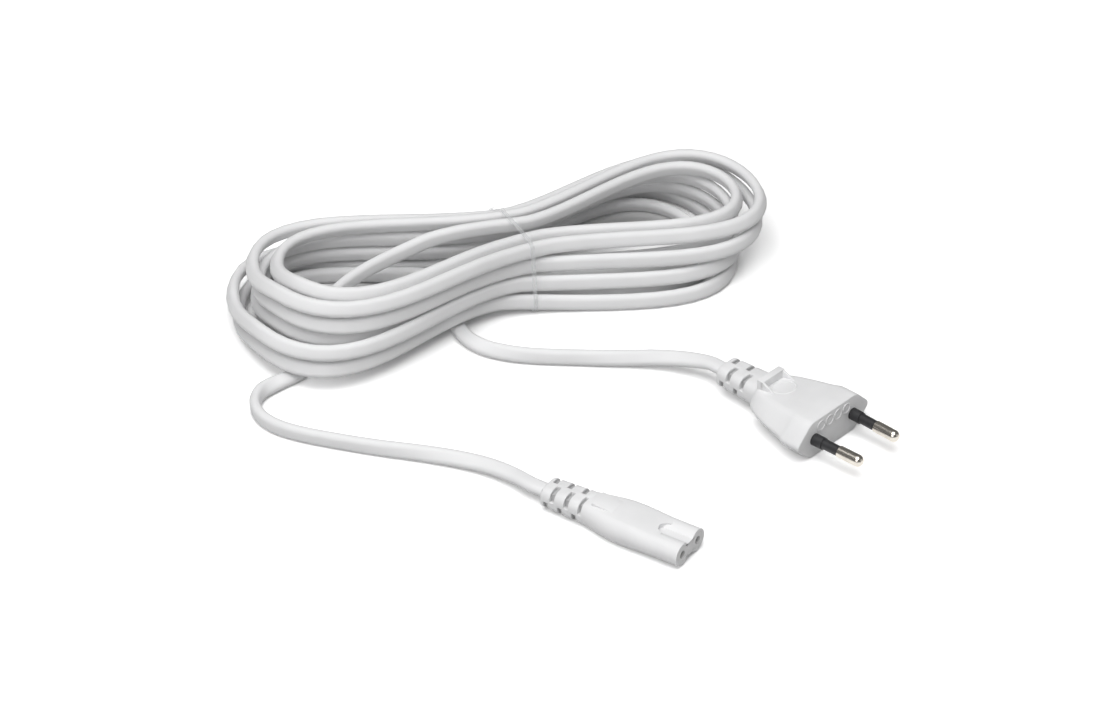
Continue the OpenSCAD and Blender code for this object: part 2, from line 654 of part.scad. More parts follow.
echo(least_gap_in_hank = least_gap);
echo(hank_length = path_length(hank_path), plug_tail_length = path_length(places(refined(plug_route))),
     connector_tail_length = path_length(places(refined(connector_route))));

plug_body();
plug_bridge();
pin(1);  // pin_left
pin(-1);  // pin_right
pin_sleeve(1);  // pin_sleeve_left
pin_sleeve(-1);  // pin_sleeve_right
plug_crimp(1);  // plug_crimp_left
plug_crimp(-1);  // plug_crimp_right
plug_core(1, "saddlebrown");  // plug_core_brown
plug_core(-1, "royalblue");  // plug_core_blue
plug_strands(1);  // plug_strands_left
plug_strands(-1);  // plug_strands_right
plug_sheath_end();
connector_body();
connector_insert();
contact(1);  // contact_left
contact(-1);  // contact_right
connector_core(1, "saddlebrown");  // connector_core_brown
connector_core(-1, "royalblue");  // connector_core_blue
connector_strands(1);  // connector_strands_left
connector_strands(-1);  // connector_strands_right
connector_sheath_end();
plug_tail();
hank();
connector_tail();
hank_tie();
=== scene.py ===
# %% [markdown]
# # A flat two-core mains lead
#
# This lesson dresses a measured model of a mains lead: a flat plug with two round pins, about
# three metres of flat white cord tied up as a hank, and a small figure-eight connector.
# Each step first says what the piece is on the real object and how it could be made, and then
# makes it. Lengths are in metres, +Z is up, and the table is at z = 0.
# The measured model is loaded first, because every new piece has to lie inside its box.

import bmesh
import bpy
from math import atan, cos, exp, pi, radians, sin
from mathutils import Matrix, Vector


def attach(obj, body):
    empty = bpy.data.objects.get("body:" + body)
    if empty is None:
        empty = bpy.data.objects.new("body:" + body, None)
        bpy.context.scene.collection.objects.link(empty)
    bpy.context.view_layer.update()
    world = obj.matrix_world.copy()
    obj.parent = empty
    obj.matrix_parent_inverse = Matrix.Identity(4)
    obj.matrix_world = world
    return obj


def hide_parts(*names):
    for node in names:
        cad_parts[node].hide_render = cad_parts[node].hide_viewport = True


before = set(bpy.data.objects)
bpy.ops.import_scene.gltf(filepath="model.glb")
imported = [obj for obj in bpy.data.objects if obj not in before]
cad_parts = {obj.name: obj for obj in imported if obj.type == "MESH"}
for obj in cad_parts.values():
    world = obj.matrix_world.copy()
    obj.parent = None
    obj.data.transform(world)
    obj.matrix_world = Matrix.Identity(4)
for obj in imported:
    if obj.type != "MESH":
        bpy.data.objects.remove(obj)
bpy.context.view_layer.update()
MM = 0.001

# %% [markdown]
# ## The camera
#
# A long lens from well over a metre away keeps the runs of the hank nearly parallel. The camera
# looks down at the middle of the lead at about 35 degrees, so the tops and the fronts both show.
# Its place comes from the sizes of the plug and the connector, which are standard.

# %% Camera
look_at = Vector((-53.0, 61.3, 0)) * MM
look_down = 0.6151
distance = 1340.2 * MM
sensor_width, picture_width, focal_length = 36, 1100, 4159.2
camera_data = bpy.data.cameras.new("camera")
camera_data.sensor_width = sensor_width
camera_data.lens = sensor_width * focal_length / picture_width
camera_data.clip_end = 20
camera = bpy.data.objects.new("camera", camera_data)
camera.location = look_at + Vector((0, -cos(look_down), sin(look_down))) * distance
camera.rotation_euler = (pi / 2 - look_down, 0, 0)
bpy.context.collection.objects.link(camera)
bpy.context.scene.camera = camera
bpy.context.scene.view_settings.view_transform = "Standard"
print("camera at", [round(x, 3) for x in camera.location])

# %% [markdown]
# ## Writing a finish as sums
#
# A material is a graph of small nodes, and a graph is slow to read as code. A socket wrapped
# in a class with overloaded operators lets `1 - dust * 0.2` add its own Math nodes, so the
# recipe of a finish reads like a sum. Colours go through Mix nodes, because a Math node would
# turn a colour grey.


# %% A socket that can be added and multiplied
class Value:
    """One output of a material's graph, on which + - * / and ** add Math nodes."""

    def __init__(self, finish, socket):
        self.finish = finish
        self.socket = socket

    def sum(self, operation, *others):
        inputs = {i: v for i, v in enumerate(others)}
        return self.finish.node("ShaderNodeMath", {"operation": operation}, inputs)

    def __add__(self, other):
        return self.sum("ADD", self, other)

    def __sub__(self, other):
        return self.sum("SUBTRACT", self, other)

    def __rsub__(self, other):
        return self.sum("SUBTRACT", other, self)

    def __mul__(self, other):
        return self.sum("MULTIPLY", self, other)

    def __truediv__(self, other):
        return self.sum("DIVIDE", self, other)

    def __pow__(self, other):
        return self.sum("POWER", self, other)

    __radd__ = __add__
    __rmul__ = __mul__

    def clamp(self):
        return self.sum("MAXIMUM", self.sum("MINIMUM", self, 1), 0)

    def rise(self, start, end):
        """0 below start, 1 above end, and a smooth step between them."""
        settings = {"interpolation_type": "SMOOTHSTEP"}
        limits = {"Value": self, "From Min": start, "From Max": end}
        return self.finish.node("ShaderNodeMapRange", settings, limits, "Result")


class Finish:
    """A material whose graph is built with node()."""

    def __init__(self, name, **sockets):
        self.material = bpy.data.materials.new(name)
        self.material.use_nodes = True
        self.tree = self.material.node_tree
        self.shader = next(n for n in self.tree.nodes if n.type == "BSDF_PRINCIPLED")
        self.output = next(n for n in self.tree.nodes if n.type == "OUTPUT_MATERIAL")
        self.feed(**{k.replace("_", " "): v for k, v in sockets.items()})

    def put(self, node, key, value):
        socket = node.inputs[key]
        if isinstance(value, Value):
            self.tree.links.new(value.socket, socket)
        elif hasattr(socket.default_value, "__len__") and len(socket.default_value) == 4:
            socket.default_value = (*value[:3], 1)
        else:
            socket.default_value = value

    def feed(self, **sockets):
        for key, value in sockets.items():
            self.put(self.shader, key.replace("_", " "), value)

    def node(self, kind, settings=None, inputs=None, output=0):
        node = self.tree.nodes.new(kind)
        for key, value in (settings or {}).items():
            setattr(node, key, value)
        for key, value in (inputs or {}).items():
            self.put(node, key, value)
        return Value(self, node.outputs[output])

    def place(self):
        return self.node("ShaderNodeTexCoord", output="Object")

    def stored(self, name):
        """A number that was stored on the points of the mesh."""
        return self.node("ShaderNodeAttribute", {"attribute_name": name}, output="Fac")

    def on_axis(self, value):
        """A place on the X axis, so that a pattern changes with one value alone."""
        return self.node("ShaderNodeCombineXYZ", None, {0: value, 1: 0.0, 2: 0.0})

    def reach(self, where, direction):
        """How far a place lies in a direction."""
        settings = {"operation": "DOT_PRODUCT"}
        return self.node("ShaderNodeVectorMath", settings, {0: where, 1: direction}, "Value")

    def noise(self, where, scale, detail=2.0, roughness=0.5):
        inputs = {"Vector": where, "Scale": scale, "Detail": detail, "Roughness": roughness}
        return self.node("ShaderNodeTexNoise", None, inputs, "Fac")

    def mix(self, share, first, second):
        """A colour between two others. Inputs 6 and 7 of a Mix node are its two colours."""
        inputs = {0: share, 6: first, 7: second}
        return self.node("ShaderNodeMix", {"data_type": "RGBA"}, inputs, 2)

    def bump(self, height, distance, strength=1.0):
        inputs = {"Height": height, "Distance": distance, "Strength": strength}
        self.feed(Normal=self.node("ShaderNodeBump", None, inputs))


print("finish helpers ready")

# %% [markdown]
# ## The finishes
#
# Plugs and cords of this kind are PVC. Moulded PVC has a fine spark-eroded skin: a very small
# even grain that spreads the highlight. Extruded PVC is smoother and carries faint lines along
# its length. Both could be one flat white, but the eye reads plastic by how the highlight
# breaks up, so a little bump and a little change of roughness do more than the colour does.
# Both finishes read numbers that are stored on the points of a mesh further down. The moulded
# one uses its number to paint shade into the bottoms of the slots.

# %% White moulded and extruded PVC
white = (0.78, 0.78, 0.785)


def darker(colour, share):
    """A share of a colour's brightness, with its hue kept."""
    return tuple(c * share for c in colour)


def moulded_pvc(name, colour):
    finish = Finish(name, Roughness=0.5, IOR=1.45, Specular_IOR_Level=0.25)
    where = finish.place()
    cloud = finish.noise(where, 90, 3)
    grain = finish.noise(where, 5200, 2, 0.6)
    skin = finish.mix(cloud.rise(0.35, 0.7), colour, darker(colour, 0.955))
    # Painted shade: where the stored number is high, deep in the slots, the colour is darkened.
    finish.feed(Base_Color=finish.mix(finish.stored("slot_shade"), skin, darker(colour, 0.55)))
    finish.feed(Roughness=0.46 + cloud * 0.1)
    finish.bump(grain, 0.00002, 0.35)
    return finish


def extruded_pvc(name, colour):
    finish = Finish(name, Roughness=0.42, IOR=1.42, Specular_IOR_Level=0.25)
    way_round = finish.stored("round")
    length = finish.stored("length")
    where = finish.node("ShaderNodeCombineXYZ", None, {0: way_round * 9, 1: length * 6, 2: 0.0})
    lines = finish.noise(where, 3, 2)
    swell = finish.noise(finish.on_axis(length), 55, 2)
    finish.feed(Base_Color=finish.mix(swell.rise(0.3, 0.75), colour, darker(colour, 0.96)))
    finish.feed(Roughness=0.44 + lines * 0.14)
    finish.bump(lines * 0.5 + swell * 0.5, 0.00006, 0.5)
    return finish


body_white = moulded_pvc("moulded white PVC", white)
cord_white = extruded_pvc("extruded white PVC", white)
print("PVC finishes:", body_white.material.name, "and", cord_white.material.name)

# %% [markdown]
# ## Metal and the small plastics
#
# The pins are turned brass with a nickel skin, so they carry fine rings round their axis and
# reflect nearly everything. Their sleeves are black nylon. The contacts are spring brass, and
# the copper strands are bright. Each gets the marks of how it was made, at its own scale.


# %% Nickel, black nylon, brass, copper and the inner plastics
def turned_metal(name, colour, rough, axis, pitch):
    """Metal with fine rings round an axis, which lies level at the given heading."""
    finish = Finish(name, Metallic=1.0, Roughness=rough)
    where = finish.place()
    reach = finish.reach(where, (cos(axis), sin(axis), 0))
    grooves = finish.noise(finish.on_axis(reach), 1 / pitch, 3, 0.7)
    stain = finish.noise(where, 260, 3)
    finish.feed(Base_Color=finish.mix(stain.rise(0.45, 0.8), colour, darker(colour, 0.82)))
    finish.feed(Roughness=rough + grooves * 0.06 + stain * 0.06)
    finish.bump(grooves, 0.000002, 0.15)
    return finish


def plain_plastic(name, colour, rough, scale):
    finish = Finish(name, Roughness=rough, IOR=1.5)
    where = finish.place()
    cloud = finish.noise(where, scale, 3)
    grain = finish.noise(where, scale * 30, 2)
    finish.feed(Base_Color=finish.mix(cloud, colour, darker(colour, 0.85)))
    finish.feed(Roughness=rough + cloud * 0.12)
    finish.bump(grain, 0.00002, 0.3)
    return finish


plug_heading = radians(-42.7)
connector_heading = radians(-33.3)
nickel = turned_metal("nickel plated pin", (0.66, 0.62, 0.56), 0.16, plug_heading, 0.00012)
tinned = turned_metal("tinned barrel", (0.72, 0.71, 0.69), 0.3, plug_heading, 0.0002)
spring_brass = turned_metal("spring brass", (0.78, 0.60, 0.30), 0.25, connector_heading, 0.0002)
copper = turned_metal("copper strands", (0.80, 0.45, 0.30), 0.3, 0.4, 0.0003)
black_nylon = plain_plastic("black nylon sleeve", (0.022, 0.022, 0.024), 0.42, 400)
bridge_nylon = plain_plastic("bridge nylon", (0.74, 0.73, 0.69), 0.5, 200)
insert_nylon = plain_plastic("insert nylon", (0.70, 0.70, 0.70), 0.38, 300)
brown_core = plain_plastic("brown core", (0.16, 0.07, 0.035), 0.45, 300)
blue_core = plain_plastic("blue core", (0.03, 0.13, 0.45), 0.45, 300)
print("finishes so far:", len(bpy.data.materials))

# %% [markdown]
# ## Dressing the pieces whose shape is already right
#
# The pins, their sleeves, the bridge, the crimps, the cores, the strands, the contacts and the
# insert are true round solids in the measured model. Remaking them would gain nothing, so they
# stay as they are, and each only gets its finish.

# %% Give each carried-over node its finish
node_finish = {
    "plug_bridge": bridge_nylon,
    "pin_left": nickel,
    "pin_right": nickel,
    "pin_sleeve_left": black_nylon,
    "pin_sleeve_right": black_nylon,
    "plug_crimp_left": tinned,
    "plug_crimp_right": tinned,
    "plug_core_brown": brown_core,
    "plug_core_blue": blue_core,
    "plug_strands_left": copper,
    "plug_strands_right": copper,
    "plug_sheath_end": body_white,
    "connector_insert": insert_nylon,
    "contact_left": spring_brass,
    "contact_right": spring_brass,
    "connector_core_brown": brown_core,
    "connector_core_blue": blue_core,
    "connector_strands_left": copper,
    "connector_strands_right": copper,
    "connector_sheath_end": body_white,
}
cad = {name: bpy.data.objects[name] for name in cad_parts}


def coat(piece, finish):
    piece.data.materials.clear()
    piece.data.materials.append(finish.material)


for name, finish in node_finish.items():
    slots = cad[name].material_slots
    if len(slots):
        for each in slots:
            each.material = finish.material
    else:
        cad[name].data.materials.append(finish.material)
print("carried over:", len(node_finish))

# %% [markdown]
# ## The line of the cord
#
# The cord is one flat cord of about three metres. A hank like this is wound round two hands or
# two pegs: it goes out and back in narrow loops, and is bound at the waist. It could be drawn
# by hand as one long curve, but fourteen runs that must not touch are easier as a formula: a
# point goes round a loop that is pinched in the middle, the loop grows and shrinks as a spiral,
# and each turn of the spiral back lies one layer higher.
# The two free ends are short routes of given points.
# From here to the tie, lengths are in millimetres, and MM turns them to metres.

# %% Sizes of the cord and of the hank
# The cord, the loops, and the layers with the gap that is left under the lowest
cord_w, cord_t = 5.4, 3.4
loops, layers = 7, 4
layer_step, rest_gap = 6.2, 0.1
# Half the length and half the widths of the innermost loop, and how much each next one adds
hank_reach, end_step = 73, 7.5
waist_half, waist_step = 7.4, 6
left_open, right_open, lobe_step = 54, 43, 7.5
# What the top layer adds to the lowest one
left_growth, right_growth, waist_growth = 7.8, -4.8, -4.1
left_open_growth, right_open_growth = -12, -8
lean_along, lean_across, lean_turn, lean_lobes = 17, -2.7, 2.3, -3.6
left_fan, right_fan = 1.1, 0.5
# The hump where the runs pass over the free ends, and its place
pass_lift, lift_middle, lift_half, lift_slope = 4.8, -46, 54, 24
# Where a loop starts, how it is spaced and how blunt its ends are
start_angle, end_pace, end_roundness = 101, 4, 1.25
# Place and heading of the whole hank
hank_at, hank_turn = (-75, 100.9), 22.4
# How many degrees the cord leans from standing on its edge
side_lean, left_end_lean, right_end_lean = 12, 22, 11
lean_sway, sway_pace = 5, 137
# Turns at which the layer changes, and the spiral's size against the turn
first_turn = round(loops * 4 / 7) / 2
reversals = [first_turn, loops / 2, loops - first_turn]
spiral = [(0, 0), (first_turn, first_turn), (loops / 2, 2 * first_turn - loops / 2)]
spiral += [(loops - first_turn, first_turn), (loops, 0)]
print("loops:", loops, "layers:", layers)


# %% A point of the hank at any turn
def ease(t):
    """A smooth step from 0 to 1."""
    q = min(1, max(0, t))
    return q * q * (3 - 2 * q)


def between(x, table):
    """The value at x in a table of points, along straight lines."""
    for (x0, y0), (x1, y1) in zip(table, table[1:]):
        if x <= x1:
            return y0 + (y1 - y0) * (x - x0) / (x1 - x0)
    return table[-1][1]


def loop_point(layer, loop, c, s):
    """A point of a loop about the hank's own middle, from the cosine and sine of its angle."""
    high = layer / (layers - 1)
    right = c > 0
    reach = hank_reach + end_step * loop + (right_growth if right else left_growth) * high
    wide = right_open + right_open_growth * high if right else left_open + left_open_growth * high
    waist = waist_half + waist_growth * high + waist_step * loop
    x = reach * (1 if right else -1) * abs(c) ** end_roundness + lean_along * high
    y = s * (waist + (wide + lobe_step * loop) * c * c) + lean_across * high
    y += lean_lobes * (high if right else -high) * c * c
    lift = pass_lift * exp(-(((x - lift_middle) / lift_half) ** 4)) * ease(0.5 - y / lift_slope)
    fan = high * c * c * (right_fan if right else left_fan)
    return x, y, cord_w / 2 + rest_gap + layer_step * layer + fan + lift


def loop_angle(turn):
    even = radians(start_angle + 360 * turn)
    return even - radians(end_pace) * sin(2 * even)


def hank_point(turn):
    layer = sum(ease((turn - r) * 2 + 0.5) for r in reversals)
    angle = loop_angle(turn)
    x, y, z = loop_point(layer, between(turn, spiral), cos(angle), sin(angle))
    a = radians(hank_turn + lean_turn * layer / (layers - 1))
    return Vector((hank_at[0] + x * cos(a) - y * sin(a), hank_at[1] + x * sin(a) + y * cos(a), z))


def hank_roll(turn):
    c = cos(loop_angle(turn))
    lean = side_lean + (left_end_lean if c < 0 else right_end_lean) * c**4
    lean += lean_sway * sin(radians(sway_pace * turn))
    return 90 - lean * ease(4 * min(turn - start_turn, loops - turn))


steps_per_loop = 72
start_turn = 1 / 24
count = round((loops - start_turn) * steps_per_loop)
turns = [start_turn + (loops - start_turn) * i / count for i in range(count + 1)]
hank_line = [hank_point(turn) for turn in turns]
hank_rolls = [hank_roll(turn) for turn in turns]
lead_in = (hank_line[3] - hank_line[0]).normalized() * cord_w
lead_out = (hank_line[-1] - hank_line[-4]).normalized() * cord_w
print("hank length, mm:", round(sum((b - a).length for a, b in zip(hank_line, hank_line[1:]))))


# %% The two free ends, as points with the roll of the flat cord
# A roll of 0 or 180 lays the cord flat, and 90 stands it on its edge. Where the cord runs to
# the left, a roll between 90 and 180 turns its broad side up and to the front.
def near_end(at, turn, back, across, height, roll):
    """A point behind an end, given along and across the end's heading."""
    x = at[0] - back * cos(turn) - across * sin(turn)
    y = at[1] - back * sin(turn) + across * cos(turn)
    return (x, y, height, roll)


plug_at = (35.5, 15.8, 6.85)
connector_at = (-10.8, -42.7, 4.4)
plug_back, connector_back = 44.2, 51.2
plug_route = [
    near_end(plug_at, plug_heading, plug_back, 0, plug_at[2], 180),
    near_end(plug_at, plug_heading, plug_back + cord_w, 0, plug_at[2], 180),
    near_end(plug_at, plug_heading, 56, -1.2, 5.8, 160),
    near_end(plug_at, plug_heading, 65, -4.8, 4.3, 140),
    (-24.5, 57.7, 3.4, 125),
    (-34.5, 58.3, 2.9, 115),
    (-45.5, 58.9, 2.8, 105),
    (-56.5, 59.5, 2.8, 105),
    (-65.5, 61, 2.8, 115),
    (-73.5, 64.3, 2.6, 135),
    (-79, 69.3, 2.3, 160),
    (-82.5, 76.3, 1.8, 180),
    (-84, 84.3, 1.8, 180),
    (-84.5, 91.8, 2.1, 170),
    (-86.5, 99.3, 2.6, 140),
    (-91, 104.3, 2.8, 110),
    (*(hank_line[0] - lead_in * 2), 90),
    (*(hank_line[0] - lead_in), 90),
]
connector_route = [
    near_end(connector_at, connector_heading, connector_back, 0, connector_at[2], 180),
    near_end(connector_at, connector_heading, connector_back + cord_w, 0, connector_at[2], 180),
    near_end(connector_at, connector_heading, 65.5, 1.9, 3.6, 170),
    near_end(connector_at, connector_heading, 75.2, 2.1, 3.1, 150),
    (-82.5, 4.3, 2.9, 130),
    (-94.5, 7.5, 2.8, 110),
    (-107.5, 10.3, 2.8, 95),
    (-120.5, 13.9, 2.8, 90),
    (-131.5, 17.5, 2.8, 90),
    (-139.5, 21.7, 2.8, 90),
    (-144.5, 27.3, 2.8, 90),
    (-146.3, 33.8, 2.8, 85),
    (-144.5, 40.3, 2.8, 60),
    (-139.5, 45.8, 2.3, 20),
    (-133.5, 51, 1.9, 0),
    (-130, 57.5, 1.8, 0),
    (-129, 64.5, 1.9, 10),
    (-129.3, 71.5, 2.4, 35),
    (-128.8, 78.5, 3.3, 60),
    (-126.3, 85.3, 5.2, 80),
    (-121.5, 91, 7.9, 90),
    (-114.8, 95, 11, 90),
    (-107.3, 97.5, 14.2, 90),
    (-99.5, 99, 17.6, 90),
    (-91.5, 100.4, 20.8, 90),
    (*(hank_line[-1] + lead_out * 2), 90),
    (*(hank_line[-1] + lead_out), 90),
]


def smooth(route, parts):
    """A rounder line through a route's points, with its first and last runs left straight."""
    line = []
    last = len(route) - 1
    for i in range(last):
        p = [route[max(i - 1, 0)], route[i], route[i + 1], route[min(i + 2, last)]]
        for k in range(parts):
            t = k / parts
            if i in (0, last - 1):
                w = (0, 1 - t, t, 0)
            else:
                w = (
                    (-t + 2 * t**2 - t**3) / 2,
                    (2 - 5 * t**2 + 3 * t**3) / 2,
                    (t + 4 * t**2 - 3 * t**3) / 2,
                    (-(t**2) + t**3) / 2,
                )
            line.append([sum(a * q[j] for a, q in zip(w, p)) for j in range(4)])
    return line + [list(route[last])]


plug_line = smooth(plug_route, 4)
connector_line = smooth(connector_route, 4)
print("free ends:", len(plug_line), "and", len(connector_line), "points")

# %% [markdown]
# ## The cord itself
#
# A round cable could be a curve with a bevel. This cord is flat, and it turns over as it goes:
# it leaves the plug flat side up and runs through the hank on its edge. So its section, two
# half circles joined by two straight lines, is placed at every point of the line with its own
# roll, and the rings are joined into one closed skin. The length and the way round are stored
# on the points, so that the finish can draw its lines along the cord.


# %% Sweep the flat section along the whole line
def section(points_round=20):
    half = points_round // 2
    outline = []
    for side in (1, -1):
        for k in range(half):
            a = -pi / 2 + pi * k / (half - 1)
            y, z = cord_t / 2 * cos(a) + (cord_w - cord_t) / 2, cord_t / 2 * sin(a)
            outline.append((y * side, z * side))
    return outline


def flat_cord(name, line):
    """The cord as one piece, with the points that it follows and its length."""
    outline = section()
    points = [Vector(p[:3]) for p in line]
    verts, length, way = [], [], []
    run = 0
    for i, (p, q) in enumerate(zip(points, line)):
        run += (p - points[i - 1]).length if i else 0
        tangent = (points[min(i + 1, len(points) - 1)] - points[max(i - 1, 0)]).normalized()
        across = Vector((0, 0, 1)).cross(tangent).normalized()
        up = tangent.cross(across)
        roll = radians(q[3])
        wide = across * cos(roll) + up * sin(roll)
        thin = tangent.cross(wide)
        for k, (a, b) in enumerate(outline):
            verts.append((p + wide * a + thin * b) * MM)
            length.append(run * MM)
            way.append(abs(2 * k / len(outline) - 1))
    n = len(outline)
    faces = [
        (i * n + k, i * n + (k + 1) % n, (i + 1) * n + (k + 1) % n, (i + 1) * n + k)
        for i in range(len(points) - 1)
        for k in range(n)
    ]
    faces += [tuple(range(n - 1, -1, -1)), tuple((len(points) - 1) * n + k for k in range(n))]
    mesh = bpy.data.meshes.new(name)
    mesh.from_pydata(verts, [], faces)
    for key, values in (("length", length), ("round", way)):
        mesh.attributes.new(key, "FLOAT", "POINT").data.foreach_set("value", values)
    build = bmesh.new()
    build.from_mesh(mesh)
    bmesh.ops.recalc_face_normals(build, faces=build.faces)
    build.to_mesh(mesh)
    build.free()
    mesh.shade_smooth()
    piece = bpy.data.objects.new(name, mesh)
    bpy.context.collection.objects.link(piece)
    coat(piece, cord_white)
    return piece, [p * MM for p in points], run * MM


# The connector's free end is walked towards the connector, which turns its rolls round.
whole_line = plug_line + [[*p, roll] for p, roll in zip(hank_line, hank_rolls)]
whole_line += [[x, y, z, 180 - roll] for x, y, z, roll in reversed(connector_line)]
cord, cord_path, cord_length = flat_cord("flat_cord", whole_line)
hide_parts("plug_tail", "hank", "connector_tail")
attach(cord, "root")
print("cord length, m:", round(cord_length, 3), "rings:", len(cord_path))

# %% [markdown]
# ## Working as by hand
#
# The moulded pieces are made the way they would be made with the mouse: a simple shape is
# added, its faces are picked, drawn out, narrowed and rounded, and modifiers finish it.
# An operator acts on everything that is selected, so each step first clears the selection and
# then picks what it needs by place. The pieces are modelled along +X with their face at x = 0,
# and are turned and moved to their end of the cord once they are whole.


# %% Helpers for selecting, drawing out and finishing
def let_go():
    if bpy.context.object and bpy.context.object.mode != "OBJECT":
        bpy.ops.object.mode_set(mode="OBJECT")
    bpy.ops.object.select_all(action="DESELECT")


def take(piece, kind="FACE"):
    """Opens a piece in edit mode with nothing selected."""
    let_go()
    piece.select_set(True)
    bpy.context.view_layer.objects.active = piece
    bpy.ops.object.mode_set(mode="EDIT")
    bpy.ops.mesh.select_mode(type=kind)
    bpy.ops.mesh.select_all(action="DESELECT")


def pick(piece, test, kind="faces"):
    """Selects the faces, edges or points whose middle, in millimetres, passes the test."""
    build = bmesh.from_edit_mesh(piece.data)
    for part in getattr(build, kind):
        if kind == "faces":
            middle = part.calc_center_median()
        elif kind == "edges":
            middle = (part.verts[0].co + part.verts[1].co) / 2
        else:
            middle = part.co
        if test(middle / MM):
            part.select_set(True)
    build.select_flush_mode()
    bmesh.update_edit_mesh(piece.data)


def added(name):
    """Names the piece that an operator has just added, and settles its place and size."""
    piece = bpy.context.object
    piece.name = piece.data.name = name
    bpy.ops.object.transform_apply(location=True, rotation=True, scale=True)
    return piece


def add_box(name, low, high):
    let_go()
    middle = [(a + b) / 2 * MM for a, b in zip(low, high)]
    bpy.ops.mesh.primitive_cube_add(size=1, location=middle)
    bpy.context.object.scale = [(b - a) * MM for a, b in zip(low, high)]
    return added(name)


def add_rod(name, start, end, diameter, points=48):
    """A cylinder from one point to another."""
    let_go()
    a, b = Vector(start) * MM, Vector(end) * MM
    turn = (b - a).to_track_quat("Z", "Y").to_euler()
    size = {"vertices": points, "radius": diameter / 2 * MM, "depth": (b - a).length}
    bpy.ops.mesh.primitive_cylinder_add(location=(a + b) / 2, rotation=turn, **size)
    return added(name)


def draw_back(stations, x=0.0):
    """Draws the selected end face back through stations of (x, width factor, height factor)."""
    wide, tall = 1.0, 1.0
    for new_x, w, h in stations:
        move = {"value": ((new_x - x) * MM, 0, 0)}
        bpy.ops.mesh.extrude_region_move(TRANSFORM_OT_translate=move)
        about = (new_x * MM, 0, 0)
        bpy.ops.transform.resize(value=(1, w / wide, h / tall), center_override=about)
        x, wide, tall = new_x, w, h


def apply_modifier(piece, kind, **settings):
    let_go()
    piece.select_set(True)
    bpy.context.view_layer.objects.active = piece
    modifier = piece.modifiers.new(kind.lower(), kind)
    for key, value in settings.items():
        setattr(modifier, key, value)
    bpy.ops.object.modifier_apply(modifier=modifier.name)


def cut(piece, tool, operation="DIFFERENCE"):
    """Cuts a piece with a tool, or unites them, and throws the tool away."""
    apply_modifier(piece, "BOOLEAN", operation=operation, object=tool, solver="EXACT")
    bpy.data.objects.remove(tool)


def soften(piece, width, segments=2, angle=35):
    limit = {"limit_method": "ANGLE", "angle_limit": radians(angle)}
    apply_modifier(piece, "BEVEL", width=width * MM, segments=segments, **limit)


def joined(name, pieces):
    let_go()
    for piece in pieces:
        piece.select_set(True)
    bpy.context.view_layer.objects.active = pieces[0]
    bpy.ops.object.join()
    piece = bpy.context.object
    piece.name = piece.data.name = name
    return piece


def set_down(piece, at, heading, finish):
    """Turns and moves a finished piece to its end of the cord, and gives it its finish."""
    let_go()
    piece.select_set(True)
    bpy.context.view_layer.objects.active = piece
    piece.matrix_world = Matrix.Translation(Vector(at) * MM) @ Matrix.Rotation(heading, 4, "Z")
    bpy.ops.object.transform_apply(location=True, rotation=True, scale=True)
    bpy.ops.object.shade_smooth_by_angle(angle=radians(40))
    coat(piece, finish)
    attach(piece, "root")
    print(piece.name, "faces:", len(piece.data.polygons))


print("modelling helpers ready")

# %% [markdown]
# ## The strain relief
#
# A moulded cord end has a soft sleeve that spreads the bend of the cord. It is cut by short
# slots from both sides in turn, so that it bends like a spring. It starts as a box whose four
# long edges are rounded. Its back is then drawn out and narrowed towards the cord, and each
# slot is cut with two small boxes, one from above and one from the side, which meet at the
# edge. Both ends of the cord have the same kind of sleeve, so one function makes them. Little
# light reaches the bottom of a slot, so its points carry a number, which the finish reads and
# darkens. The number runs down to nothing up the walls, as such shade does.


# %% A slotted sleeve
slot_w, slot_floor_y, slot_floor_z = 1.7, 3.6, 2.6
slot_end_y, slot_end_z = 0.5, 0.3
sleeve_radius, sleeve_edge, slab = 3.1, 0.22, 0.6


def cut_slot(sleeve, start, side, top, past=9):
    for near, low in ((slot_end_y, slot_floor_z), (slot_floor_y, slot_end_z)):
        ys, zs = sorted((side * near, side * past)), sorted((top * low, top * past))
        cut(sleeve, add_box("slot", (start - slot_w, ys[0], zs[0]), (start, ys[1], zs[1])))


def mark_slot_shade(sleeve, margin=0.3):
    """Gives each point a number, 1 deep in a slot and 0 on the outside, for the finish's painted
    shade.
    """
    wide, tall = slot_floor_y + margin, slot_floor_z + margin
    places = [v.co / MM for v in sleeve.data.vertices]
    values = [float(abs(p.y) < wide and abs(p.z) < tall) for p in places]
    sleeve.data.attributes.new("slot_shade", "FLOAT", "POINT").data.foreach_set("value", values)
    print(sleeve.name, "points deep in the slots:", int(sum(values)))


def slotted_sleeve(name, x, length, front, rear, lead, pitch):
    """A sleeve from x backwards, with the widths and heights of its front and its rear."""
    low, high = (x - slab, -front[0] / 2, -front[1] / 2), (x, front[0] / 2, front[1] / 2)
    sleeve = add_box(name, low, high)
    take(sleeve, "EDGE")
    pick(sleeve, lambda p: abs(p.x - x + slab / 2) < 0.1, "edges")
    bpy.ops.mesh.bevel(offset=sleeve_radius * MM, segments=7, affect="EDGES")
    bpy.ops.mesh.select_mode(type="FACE")
    bpy.ops.mesh.select_all(action="DESELECT")
    pick(sleeve, lambda p: p.x < x - 0.5)
    back, w, h = x - length, rear[0] / front[0], rear[1] / front[1]
    narrowing = [(x - length / 2, (1 + w) / 2, (1 + h) / 2), (back + 0.7, w, h)]
    narrowing += [(back + 0.2, w * 0.95, h * 0.94), (back, w * 0.9, h * 0.87)]
    draw_back(narrowing, x - slab)
    let_go()
    count = 0
    for side in (-1, 1):
        for top in (-1, 1):
            shift = pitch / 2 - 0.3 if side * top > 0 else 0
            for i in range(3):
                start = x - lead - i * pitch - shift
                if start - slot_w > back + 0.8:
                    cut_slot(sleeve, start, side, top)
                    count += 1
    soften(sleeve, sleeve_edge)
    print(name, "slots:", count)
    mark_slot_shade(sleeve)
    return sleeve


